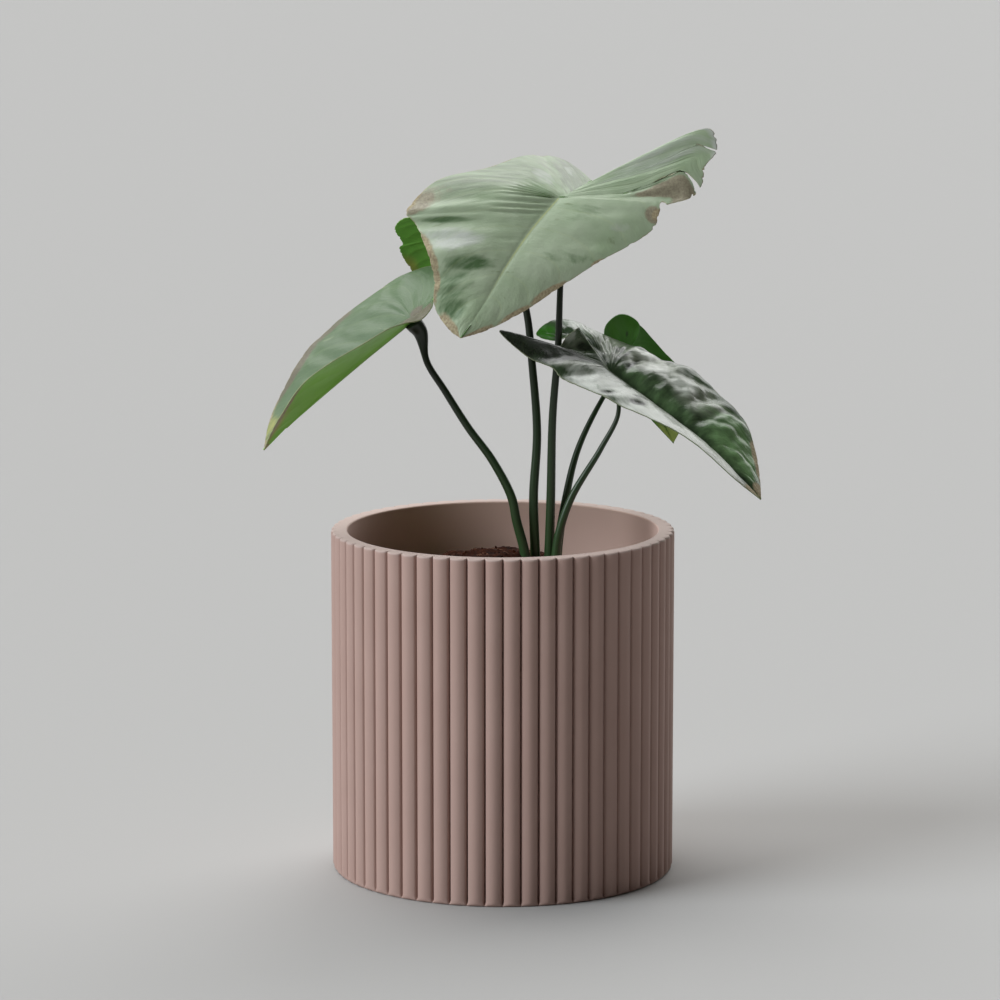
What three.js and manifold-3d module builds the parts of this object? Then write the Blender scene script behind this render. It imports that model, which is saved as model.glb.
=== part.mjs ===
// A taro plant of five leaves in a ribbed round pot. Millimetres, +Z up.
// The origin is the middle of the pot's flat base; -Y is the front, and +X the right seen from it.
import * as THREE from "three";
import { mergeVertices } from "three/addons/utils/BufferGeometryUtils.js";
import Module from "manifold-3d";

const wasm = await Module();
wasm.setup();

// The pot
const POT_RADIUS = 100;
const POT_HEIGHT = 201;
const RIBS = 60;
const RIB_DEPTH = 2.2;
const RIB_FACETS = 4;
const POT_EDGE = 1.2;
const WALL_INNER_RADIUS = 90.5;
const FLOOR_THICKNESS = 16;
const INNER_SIDES = 72;

// The soil, a mound that falls to the wall
const GAP = 0.3;
const SOIL_TOP = 186.5;
const SOIL_FALL = 32;
const SOIL_PEAK = new THREE.Vector2(-3, 0);
const SOIL_RINGS = 8;
const SOIL_SIDES = 48;
const SOIL_LUMP = 1.1;

// The corm, buried under the petioles
const CORM_PLACE = new THREE.Vector3(23, 0, 0);
const CORM_CROWN_Z = 164;
const CORM_CROWN_RADIUS = 14;
const CORM_RADIUS = 19;
const CORM_DEPTH = 46;
const CORM_SIDES = 20;

// The leaves
const BLADE_THICKNESS = 0.9;
const PETIOLE_BASE_RADIUS = 3;
const PETIOLE_SIDES = 8;
const PETIOLE_STEPS = 20;
const PETIOLE_RUN_IN = 9;
const LEAN_REACH = 0.2;
const LEAN_START = 0.4;
const FOLD_START = 0.1;
const FOLD_FULL = 0.8;
const CHANNEL_REACH = 5;
const CHANNEL_FADE = [0.5, 0.7];

// Each leaf is drawn by its midrib and its two margins, from the apex round the lobes to the sinus.
// Left and right are as seen from the petiole looking to the apex, with the upper face up.
// arch lifts each half between midrib and margin, as a share of its width: [blade, lobe].
// channel is how deep the midrib runs below the blade beside it.
// folds are [place along the margin, half width, height at the margin].
// tears are [place along the margin, half width, depth as a share of the half's width, lean], where
// lean is how far along the margin the inner end of the tear lies from its mouth.
// slender is the petiole's radius near its top, and flare what it widens by to meet the blade.
const LEAVES = [
  {
    name: "top",
    up: [0, -0.83, 0.56],
    midrib: [[-24, -45, 319], [-11, -37, 337], [1, -26, 356], [16, -11, 376], [32, 4, 393]],
    sinus: [52, 11, 402],
    left: [[-9, -41, 323], [12, -35, 333], [30, -27, 344], [51, -20, 357], [68, -13, 366],
      [86, -6, 376], [92, -2, 389], [108, 6, 393], [115, 10, 401], [117, 14, 411],
      [124, 20, 420], [118, 24, 432], [88, 18, 420]],
    right: [[-31, -42, 324], [-39, -36, 337], [-39, -31, 351], [-44, -22, 367], [-50, -11, 381],
      [-55, -5, 387], [-38, 8, 403], [-9, 22, 409], [10, 38, 414], [25, 56, 413],
      [36, 58, 410], [45, 38, 406]],
    arch: { left: [0.04, 0.02], right: [0.06, 0.05] },
    channel: { left: 0.6, right: 0.6 },
    folds: {
      left: [[0.43, 0.035, 1.2], [0.365, 0.035, -1], [0.56, 0.04, 1]],
      right: [[0.458, 0.03, 1.6], [0.385, 0.035, -2.2], [0.292, 0.045, 3], [0.231, 0.035, -1.8],
        [0.205, 0.03, 0.8], [0.123, 0.045, -1.5], [0.755, 0.03, -1.5]],
    },
    tears: {
      left: [[0.5, 0.011, 0.1, 0], [0.61, 0.017, 0.15, 0.1], [0.61, 0.0035, 0.2, 0],
        [0.781, 0.004, 0.125, 0.03]],
      right: [],
    },
    rows: 34,
    petiole: [[27, 1, 185], [28, 2, 219], [29, 2, 267], [32, 2, 306], [33, 4, 335], [34, 9, 369]],
    foot: [26, 1.5],
    slender: 1.4,
    flare: 0.8,
  },
  {
    name: "left",
    up: [0, -0.2, 0.98],
    midrib: [[-138, -12, 249], [-117, -7, 269], [-87, 0, 295], [-53, 8, 322]],
    sinus: [-40, 11, 334],
    left: [[-134, -17, 259], [-127, -25, 272], [-115, -32, 290], [-99, -36, 303], [-80, -36, 314],
      [-66, -33, 322], [-56, -28, 325], [-47, -20, 326], [-41, -6, 331]],
    right: [[-136, -3, 261], [-132, 8, 272], [-122, 22, 290], [-111, 35, 305], [-90, 46, 322],
      [-66, 52, 338], [-46, 48, 348], [-33, 38, 349], [-34, 22, 341]],
    arch: { left: [0.02, 0.03], right: [0.05, 0.05] },
    channel: { left: 0, right: 0.8 },
    folds: { left: [], right: [[0.3, 0.05, 0.8], [0.43, 0.05, -0.9], [0.62, 0.06, 0.9]] },
    tears: { left: [], right: [] },
    rows: 26,
    petiole: [[13, -3, 186], [8, -2, 206], [5, -1, 220], [-6, 1, 241], [-20, 3, 260],
      [-34, 5, 282], [-44, 7, 298]],
    foot: [14.5, -3],
    slender: 1.8,
    flare: 3.4,
  },
  {
    name: "right",
    up: [0.1, -0.1, 0.99],
    midrib: [[148, -35, 224], [119, -23, 250], [91, -13, 272], [63, -3, 292]],
    sinus: [44, 6, 318],
    left: [[148, -22, 234], [146, -8, 248], [139, 6, 265], [123, 18, 281], [107, 27, 291],
      [91, 34, 297], [75, 37, 303], [56, 37, 311], [41, 36, 318], [28, 40, 317], [20, 42, 309],
      [32, 24, 308]],
    right: [[133, -43, 237], [110, -47, 258], [87, -46, 272], [66, -43, 280], [49, -39, 288],
      [34, -34, 294], [28, -31, 300], [14, -29, 306], [-2, -24, 320], [12, -18, 315],
      [29, -8, 306], [37, -1, 314]],
    arch: { left: [0.04, 0.1], right: [0.06, -0.02] },
    channel: { left: 6, right: 3.5 },
    folds: {
      left: [[0.51, 0.03, 1.4], [0.45, 0.03, -1.2], [0.37, 0.045, 1.8], [0.29, 0.035, -1.2],
        [0.2, 0.05, 1.2]],
      right: [[0.34, 0.05, 0.9], [0.24, 0.05, -0.7]],
    },
    tears: { left: [], right: [] },
    rows: 30,
    petiole: [[31, -5, 186], [33, -5, 200], [40, -4, 220], [57, 0, 248], [67, 2, 268], [66, 3, 279]],
    foot: [30.5, -5.5],
    slender: 0.9,
    flare: 0.5,
  },
  {
    name: "back_right",
    up: [-0.1, 0.95, 0.2],
    midrib: [[101, 46, 244], [89, 56, 265], [78, 60, 282], [71, 53, 297]],
    sinus: [76, 55, 301],
    left: [[89, 52, 256], [76, 56, 270], [64, 56, 291], [60, 51, 310], [66, 47, 319],
      [73, 47, 320], [80, 48, 315], [80, 50, 308]],
    right: [[108, 56, 256], [110, 67, 269], [105, 76, 284], [96, 79, 294], [89, 78, 302],
      [82, 74, 310], [74, 69, 314], [71, 62, 310]],
    arch: { left: [0.08, 0.08], right: [0.08, 0.08] },
    channel: { left: 0.5, right: 0.5 },
    folds: { left: [[0.35, 0.08, 0.8]], right: [] },
    tears: { left: [], right: [] },
    rows: 22,
    petiole: [[32, 5, 185], [37, 9, 218], [44, 16, 245], [59, 28, 274]],
    foot: [32, 6],
    slender: 0.8,
    flare: 0.4,
  },
  {
    name: "back_left",
    up: [0, 0.75, 0.66],
    midrib: [[-51, 62, 334], [-37, 62, 350], [-20, 50, 364], [-2, 28, 377]],
    sinus: [7, 24, 385],
    left: [[-53, 62, 343], [-58, 61, 351], [-61, 60, 358], [-59, 60, 361], [-63, 57, 368],
      [-63, 55, 372], [-59, 52, 376], [-52, 49, 378], [-37, 40, 386], [-13, 30, 392],
      [4, 26, 391]],
    right: [[-37, 78, 330], [-17, 88, 333], [4, 84, 342], [22, 66, 362], [25, 48, 379],
      [18, 36, 385], [13, 30, 386]],
    arch: { left: [0.06, 0.06], right: [0.08, 0.08] },
    channel: { left: 0.5, right: 0.5 },
    folds: { left: [], right: [[0.3, 0.08, 0.9], [0.5, 0.08, -0.9]] },
    tears: { left: [], right: [] },
    rows: 26,
    petiole: [[19, 3, 185], [18, 5, 219], [20, 9, 256], [17, 14, 297], [14, 18, 325], [6, 22, 354]],
    foot: [19.5, 3],
    slender: 1.8,
    flare: 0.8,
  },
];
const COLUMNS = 5;

const material = (color, roughness) =>
  new THREE.MeshStandardMaterial({ color, roughness, metalness: 0 });
const CERAMIC = material("#a98e84", 0.75);
const SOIL = material("#4a2e22", 1);
const CORM = material("#5c4433", 0.9);
const PETIOLE = material("#2c4a2c", 0.4);
const BLADE = material("#6f8a68", 0.45);

const vector = (place) => new THREE.Vector3(...place);

// Geometry with only its position, and its shared vertices merged
function welded(geometry) {
  const bare = new THREE.BufferGeometry();
  bare.setAttribute("position", geometry.attributes.position.clone());
  if (geometry.index) bare.setIndex(geometry.index.clone());
  return mergeVertices(bare, 1e-4);
}

function toSolid(geometry) {
  const closed = welded(geometry);
  return new wasm.Manifold(new wasm.Mesh({
    numProp: 3,
    vertProperties: new Float32Array(closed.attributes.position.array),
    triVerts: new Uint32Array(closed.index.array),
  }));
}

function toGeometry(solid) {
  const mesh = solid.getMesh();
  const geometry = new THREE.BufferGeometry();
  geometry.setAttribute("position", new THREE.BufferAttribute(mesh.vertProperties, 3));
  geometry.setIndex(new THREE.BufferAttribute(mesh.triVerts, 1));
  return geometry;
}

function named(name, geometry, look) {
  geometry.computeVertexNormals();
  const mesh = new THREE.Mesh(geometry, look);
  mesh.name = name;
  return mesh;
}

// The pot: an outline of round ribs, pulled up with small edges, less its inside
function potOutline() {
  const outline = new THREE.Shape();
  const facets = RIBS * RIB_FACETS;
  for (let i = 0; i < facets; i++) {
    const across = ((i % RIB_FACETS) / RIB_FACETS) * 2 - 1;
    const radius = POT_RADIUS - RIB_DEPTH * across * across;
    const angle = (i / facets) * 2 * Math.PI - Math.PI / 2;
    const place = [radius * Math.cos(angle), radius * Math.sin(angle)];
    if (i === 0) outline.moveTo(...place);
    else outline.lineTo(...place);
  }
  outline.closePath();
  return outline;
}

function makePot() {
  const body = new THREE.ExtrudeGeometry(potOutline(), {
    depth: POT_HEIGHT - 2 * POT_EDGE,
    bevelThickness: POT_EDGE,
    bevelSize: POT_EDGE,
    bevelOffset: -POT_EDGE,
    bevelSegments: 1,
    curveSegments: 1,
  });
  body.translate(0, 0, POT_EDGE);
  const insideHeight = POT_HEIGHT - FLOOR_THICKNESS;
  const inside = new THREE.LatheGeometry([
    new THREE.Vector2(0, 0),
    new THREE.Vector2(WALL_INNER_RADIUS, 0),
    new THREE.Vector2(WALL_INNER_RADIUS, insideHeight - POT_EDGE),
    new THREE.Vector2(WALL_INNER_RADIUS + POT_EDGE, insideHeight),
    new THREE.Vector2(WALL_INNER_RADIUS + POT_EDGE, insideHeight + 1),
    new THREE.Vector2(0, insideHeight + 1),
  ], INNER_SIDES);
  inside.rotateX(Math.PI / 2);
  inside.translate(0, 0, FLOOR_THICKNESS);
  return named("pot", toGeometry(toSolid(body).subtract(toSolid(inside))), CERAMIC);
}

// Height of the soil: a round mound with a few broad lumps
function soilHeight(x, y) {
  const out = Math.hypot(x - SOIL_PEAK.x, y - SOIL_PEAK.y) / WALL_INNER_RADIUS;
  const lumps = Math.sin(x * 0.19 + 1) * Math.cos(y * 0.23) + 0.6 * Math.sin(x * 0.08 - y * 0.41);
  return SOIL_TOP - SOIL_FALL * out * out + SOIL_LUMP * lumps;
}

function cormProfile(grow) {
  const bottom = CORM_CROWN_Z - CORM_DEPTH - grow;
  const points = [new THREE.Vector2(0, bottom)];
  for (let i = 1; i < 8; i++) {
    const share = i / 8;
    const ridge = i % 2 === 0 ? 0 : -0.7;
    const radius = CORM_RADIUS * Math.sin(Math.PI * (0.12 + 0.62 * share)) + ridge;
    points.push(new THREE.Vector2(radius + grow, bottom + CORM_DEPTH * share));
  }
  points.push(new THREE.Vector2(CORM_CROWN_RADIUS + grow, CORM_CROWN_Z + grow));
  points.push(new THREE.Vector2(0, CORM_CROWN_Z + grow));
  return points;
}

function cormGeometry(grow) {
  const geometry = new THREE.LatheGeometry(cormProfile(grow), CORM_SIDES);
  geometry.rotateX(Math.PI / 2);
  return geometry.translate(CORM_PLACE.x, CORM_PLACE.y, 0);
}

function makeSoil(holes) {
  const radius = WALL_INNER_RADIUS - GAP;
  const profile = [
    new THREE.Vector2(0, FLOOR_THICKNESS + GAP),
    new THREE.Vector2(radius, FLOOR_THICKNESS + GAP),
  ];
  for (let ring = SOIL_RINGS; ring >= 0; ring--) {
    profile.push(new THREE.Vector2((radius * ring) / SOIL_RINGS, SOIL_TOP));
  }
  const mound = new THREE.LatheGeometry(profile, SOIL_SIDES);
  mound.rotateX(Math.PI / 2);
  const place = mound.attributes.position;
  for (let i = 0; i < place.count; i++) {
    if (place.getZ(i) > SOIL_TOP - 1) place.setZ(i, soilHeight(place.getX(i), place.getY(i)));
  }
  let soil = toSolid(mound).subtract(toSolid(cormGeometry(GAP)));
  for (const hole of holes) soil = soil.subtract(toSolid(hole));
  return named("soil", toGeometry(soil), SOIL);
}

const marginCurve = (leaf, side) => new THREE.CatmullRomCurve3(
  [leaf.midrib[0], ...leaf[side], leaf.sinus].map(vector), false, "catmullrom");
const midribCurve = (leaf) => new THREE.CatmullRomCurve3(
  leaf.midrib.map(vector), false, "catmullrom");

// A point of the midrib line: apex at 0, petiole at 0.5, end of the sinus at 1
function midribPoint(leaf, along) {
  if (along <= 0.5) return midribCurve(leaf).getPoint(along * 2);
  const back = (along - 0.5) * 2;
  return vector(leaf.midrib.at(-1)).lerp(vector(leaf.sinus), back * back);
}

// 1 at a place, falling straight to 0 at a reach on both sides of it
const closeness = (value, place, reach) => Math.max(0, 1 - Math.abs(value - place) / reach);

function tornShare(leaf, side, along) {
  let share = 1;
  for (const [place, halfWidth, depth] of leaf.tears[side]) {
    share -= depth * closeness(along, place, halfWidth);
  }
  return share;
}

// How far along the margin the rows beside a leaning tear bend, by the share of their way out
function leanAt(leaf, side, along, share) {
  let shift = 0;
  for (const [place, , depth, lean] of leaf.tears[side]) {
    const inner = THREE.MathUtils.smoothstep(share, LEAN_START, 1 - depth);
    const bend = share < 1 - depth ? inner : (1 - share) / depth;
    shift += lean * bend * THREE.MathUtils.smoothstep(closeness(along, place, LEAN_REACH), 0, 1);
  }
  return shift;
}

function foldLift(leaf, side, along, share) {
  let lift = 0;
  for (const [place, halfWidth, height] of leaf.folds[side]) {
    lift += height * THREE.MathUtils.smoothstep(closeness(along, place, halfWidth), 0, 1);
  }
  return lift * THREE.MathUtils.smoothstep(share, FOLD_START, FOLD_FULL);
}

// The blade's middle surface: along runs from apex to sinus, out from midrib to margin
function bladePoint(leaf, side, along, out) {
  const share = out * tornShare(leaf, side, along);
  const bent = along + leanAt(leaf, side, along, share);
  const start = midribPoint(leaf, bent);
  const end = marginCurve(leaf, side).getPoint(bent);
  const width = start.distanceTo(end);
  const [blade, lobe] = leaf.arch[side];
  const arch = THREE.MathUtils.lerp(blade, lobe, Math.max(0, along * 2 - 1));
  const rise = leaf.channel[side] * (1 - Math.exp(-share * width / CHANNEL_REACH))
    * (1 - THREE.MathUtils.smoothstep(along, ...CHANNEL_FADE));
  const lift = arch * width * 4 * share * (1 - share) + rise * (1 - share)
    + foldLift(leaf, side, along, share);
  return start.lerp(end, share).addScaledVector(vector(leaf.up).normalize(), lift);
}

// Even rows from apex to sinus, and rows of their own at the tears and along the folds
function bladeRows(leaf) {
  const folds = [...leaf.folds.left, ...leaf.folds.right].map(([place]) => place);
  const tears = [...leaf.tears.left, ...leaf.tears.right]
    .flatMap(([place, halfWidth]) => [place - halfWidth, place, place + halfWidth]);
  const rows = new Set(tears);
  const clear = (row) => [...rows].every((other) => Math.abs(other - row) > 0.3 / leaf.rows);
  for (const row of folds) if (clear(row)) rows.add(row);
  for (let i = 1; i < leaf.rows; i++) if (clear(i / leaf.rows)) rows.add(i / leaf.rows);
  return [...rows].sort((a, b) => a - b);
}

// One sheet of points and triangles, the apex first and the end of the sinus last
function bladeSheet(leaf) {
  const rows = bladeRows(leaf);
  const across = 2 * COLUMNS + 1;
  const points = [vector(leaf.midrib[0])];
  for (const along of rows) {
    for (let c = -COLUMNS; c <= COLUMNS; c++) {
      points.push(bladePoint(leaf, c < 0 ? "left" : "right", along, Math.abs(c) / COLUMNS));
    }
  }
  points.push(vector(leaf.sinus));
  const at = (row, column) => 1 + row * across + column;
  const faces = [];
  for (let c = 0; c < across - 1; c++) {
    faces.push([0, at(0, c + 1), at(0, c)]);
    faces.push([points.length - 1, at(rows.length - 1, c), at(rows.length - 1, c + 1)]);
  }
  for (let row = 0; row < rows.length - 1; row++) {
    for (let c = 0; c < across - 1; c++) {
      const [a, b] = [at(row, c), at(row, c + 1)];
      const [d, e] = [at(row + 1, c), at(row + 1, c + 1)];
      if (c < COLUMNS) faces.push([a, b, d], [b, e, d]);
      else faces.push([a, b, e], [a, e, d]);
    }
  }
  const edge = [0];
  for (let row = 0; row < rows.length; row++) edge.push(at(row, 0));
  edge.push(points.length - 1);
  for (let row = rows.length - 1; row >= 0; row--) edge.push(at(row, across - 1));
  return { points, faces, edge };
}

// The sheet's normals, on the side that the upper face looks to
function sheetNormals({ points, faces }, up) {
  const geometry = new THREE.BufferGeometry().setFromPoints(points);
  geometry.setIndex(faces.flat());
  geometry.computeVertexNormals();
  const normals = points.map((_, i) => new THREE.Vector3()
    .fromBufferAttribute(geometry.attributes.normal, i));
  const total = normals.reduce((sum, normal) => sum.add(normal), new THREE.Vector3());
  if (total.dot(vector(up)) < 0) normals.forEach((normal) => normal.negate());
  return normals;
}

function bladeGeometry(leaf) {
  const sheet = bladeSheet(leaf);
  const normals = sheetNormals(sheet, leaf.up);
  const count = sheet.points.length;
  const upper = sheet.points.map((point, i) =>
    point.clone().addScaledVector(normals[i], BLADE_THICKNESS / 2));
  const lower = sheet.points.map((point, i) =>
    point.clone().addScaledVector(normals[i], -BLADE_THICKNESS / 2));
  const faces = [];
  for (const [a, b, c] of sheet.faces) faces.push([a, b, c], [count + a, count + c, count + b]);
  sheet.edge.forEach((a, i) => {
    const b = sheet.edge[(i + 1) % sheet.edge.length];
    faces.push([a, b, count + b], [a, count + b, count + a]);
  });
  const geometry = new THREE.BufferGeometry().setFromPoints([...upper, ...lower]);
  geometry.setIndex(faces.flat());
  return outward(geometry);
}

// Turns a closed mesh's faces outwards
function outward(geometry) {
  const place = geometry.attributes.position;
  const index = geometry.index;
  const corner = (i) => new THREE.Vector3().fromBufferAttribute(place, index.getX(i));
  let volume = 0;
  for (let i = 0; i < index.count; i += 3) {
    volume += corner(i).dot(corner(i + 1).cross(corner(i + 2)));
  }
  if (volume > 0) return geometry;
  for (let i = 0; i < index.count; i += 3) {
    const b = index.getX(i + 1);
    index.setX(i + 1, index.getX(i + 2));
    index.setX(i + 2, b);
  }
  return geometry;
}

// The direction straight out of the upper face where the petiole joins
function faceAtPetiole(leaf) {
  const middle = bladePoint(leaf, "left", 0.5, 0);
  const ahead = bladePoint(leaf, "left", 0.46, 0).sub(bladePoint(leaf, "left", 0.54, 0));
  const left = bladePoint(leaf, "left", 0.5, 0.1).sub(middle);
  const right = bladePoint(leaf, "right", 0.5, 0.1).sub(middle);
  const normal = ahead.cross(left.normalize().sub(right.normalize())).normalize();
  return normal.dot(vector(leaf.up)) < 0 ? normal.negate() : normal;
}

// The petiole's line, from just above the corm to just under the blade
function petioleCurve(leaf, sink) {
  const join = bladePoint(leaf, "left", 0.5, 0);
  const face = faceAtPetiole(leaf);
  const foot = new THREE.Vector3(...leaf.foot, CORM_CROWN_Z + GAP - sink);
  return new THREE.CatmullRomCurve3([
    foot,
    ...leaf.petiole.map(vector),
    join.clone().addScaledVector(face, -PETIOLE_RUN_IN),
    join.clone().addScaledVector(face, -BLADE_THICKNESS / 2 - GAP - 0.15),
  ], false, "centripetal");
}

// A round rod that follows a curve, its radius set by the share of the way along
function rodAlong(curve, radiusAt, sides, steps) {
  const rod = new THREE.CylinderGeometry(1, 1, 1, sides, steps);
  const frames = curve.computeFrenetFrames(steps);
  const place = rod.attributes.position;
  for (let i = 0; i < place.count; i++) {
    const share = place.getY(i) + 0.5;
    const step = Math.round(share * steps);
    const radius = radiusAt(share);
    const point = curve.getPointAt(share)
      .addScaledVector(frames.normals[step], place.getX(i) * radius)
      .addScaledVector(frames.binormals[step], place.getZ(i) * radius);
    place.setXYZ(i, point.x, point.y, point.z);
  }
  return outward(welded(rod));
}

function petioleGeometry(leaf, grow) {
  const radiusAt = (share) => THREE.MathUtils.lerp(PETIOLE_BASE_RADIUS, leaf.slender, share)
    + leaf.flare * THREE.MathUtils.smoothstep(share, 0.86, 1) + grow;
  return rodAlong(petioleCurve(leaf, grow), radiusAt, PETIOLE_SIDES, PETIOLE_STEPS);
}

const plant = new THREE.Group();
plant.add(makePot());
plant.add(makeSoil(LEAVES.map((leaf) => petioleGeometry(leaf, GAP))));
plant.add(named("corm", welded(cormGeometry(0)), CORM));
for (const leaf of LEAVES) {
  plant.add(named(`petiole_${leaf.name}`, petioleGeometry(leaf, 0), PETIOLE));
  plant.add(named(`leaf_${leaf.name}`, bladeGeometry(leaf), BLADE));
}

export default plant;
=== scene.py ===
"""A young taro in a ribbed pot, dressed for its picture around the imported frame."""
import math
import random

import bmesh
import bpy
from mathutils import Euler, Matrix, Vector, noise


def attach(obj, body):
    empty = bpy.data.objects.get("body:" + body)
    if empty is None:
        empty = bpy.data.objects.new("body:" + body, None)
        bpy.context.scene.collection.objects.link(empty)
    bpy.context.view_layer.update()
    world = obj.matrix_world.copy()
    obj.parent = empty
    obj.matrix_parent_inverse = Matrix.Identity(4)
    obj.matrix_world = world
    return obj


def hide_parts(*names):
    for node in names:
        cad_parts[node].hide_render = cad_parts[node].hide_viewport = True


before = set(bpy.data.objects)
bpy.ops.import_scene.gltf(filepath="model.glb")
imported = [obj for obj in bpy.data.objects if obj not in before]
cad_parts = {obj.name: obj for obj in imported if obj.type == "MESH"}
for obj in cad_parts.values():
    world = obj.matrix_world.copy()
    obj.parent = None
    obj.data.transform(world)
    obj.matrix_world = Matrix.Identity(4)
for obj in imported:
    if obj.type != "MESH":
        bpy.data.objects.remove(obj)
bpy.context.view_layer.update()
MM = 0.001
CURVE_STEPS = 40

# The camera stands 2.5 m off with a long lens, a little above the plant
CAMERA_PLACE = Vector((-1.59, -2523, 660.8)) * MM
CAMERA_DOWN = math.radians(9.96)
CAMERA_LENS = 158.4

# The pot, in millimetres
POT_RADIUS = 100
POT_HEIGHT = 201
RIBS = 60
RIB_DEPTH = 2.0
RIB_NOTCH = 2.8
NOTCH_START = 0.86
RIB_STEPS = 16
WALL_INNER_RADIUS = 90.5
FLOOR_THICKNESS = 16
RIM_ROUND = 1.3
RIM_SCALLOP = 0.7
INNER_ROUND = 1.0
BASE_ROUND = 2.4
RIB_FOOT = BASE_ROUND * 1.15
RIB_HEAD = 1.2
ROUND_STEPS = 6
RIM_FLAT = 3.4
FLOOR_ROUND = 4
FLOOR_RINGS = (45, 82)
WALL_RINGS = (20, 50, 80, 110, 140, 170, 190)

# The soil and the corm, in millimetres
GAP = 0.3
SOIL_TOP = 186.5
SOIL_FALL = 32
SOIL_PEAK = (-3, 0)
SOIL_LUMP = 1.1
SOIL_GRAIN = 1.3
SOIL_RINGS = 80
SOIL_SIDES = 216
SOIL_MIDDLE = 90
CRUMBS = 900
CRUMB_SIZES = (0.35, 1.25)
CRUMB_MARGIN = 4
FIBRES = 260
FIBRE_LENGTHS = (3, 9)
FIBRE_RADII = (0.12, 0.25)
FIBRE_POINTS = 7
FIBRE_MARGIN = 12
CORM_PLACE = (23, 0)
CORM_CROWN_Z = 164
CORM_CROWN_RADIUS = 14
CORM_RADIUS = 19
CORM_DEPTH = 46
CORM_STEPS = 48
CORM_SIDES = 72
CORM_BULGE = (0.12, 0.74)
SCAR_DEPTH = 0.5
SCAR_TURNS = 26

# The leaves: sizes in millimetres, and starts, fades and reaches as shares of a blade or petiole
BLADE_THICKNESS = 0.9
PETIOLE_BASE_RADIUS = 3
PETIOLE_SIDES = 24
PETIOLE_STEPS = 120
PETIOLE_RUN_IN = 9
PETIOLE_END = 0.9
FLARE_START = 0.86
LEAN_REACH = 0.2
LEAN_START = 0.4
FOLD_START = 0.1
FOLD_FULL = 0.8
CHANNEL_WIDTH = 5
CHANNEL_FADE = (0.5, 0.7)
COLUMNS = 30
EDGE_SHARE = 0.992
BLADE_BODY = 0.6
RIB_BODY = 1.6
RIB_WIDTH = 1.3
RIB_GROOVE = 0.25
GROOVE_WIDTH = 1.1
RIB_FADE = (0.1, 0.35)
PATCH_CORE = 0.3
BLISTER_PITCH = 0.16
RELIEF_FROM_RIB = (0.5, 8)
RELIEF_FROM_EDGE = (0, 6)
STREAK_SCALE = (3, 2.5, 1)
NIBBLE_STEPS = 70
NIBBLE_START = 0.8
NIBBLE_LEAST_WIDTH = 4
TEAR_ROWS = 8

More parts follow.
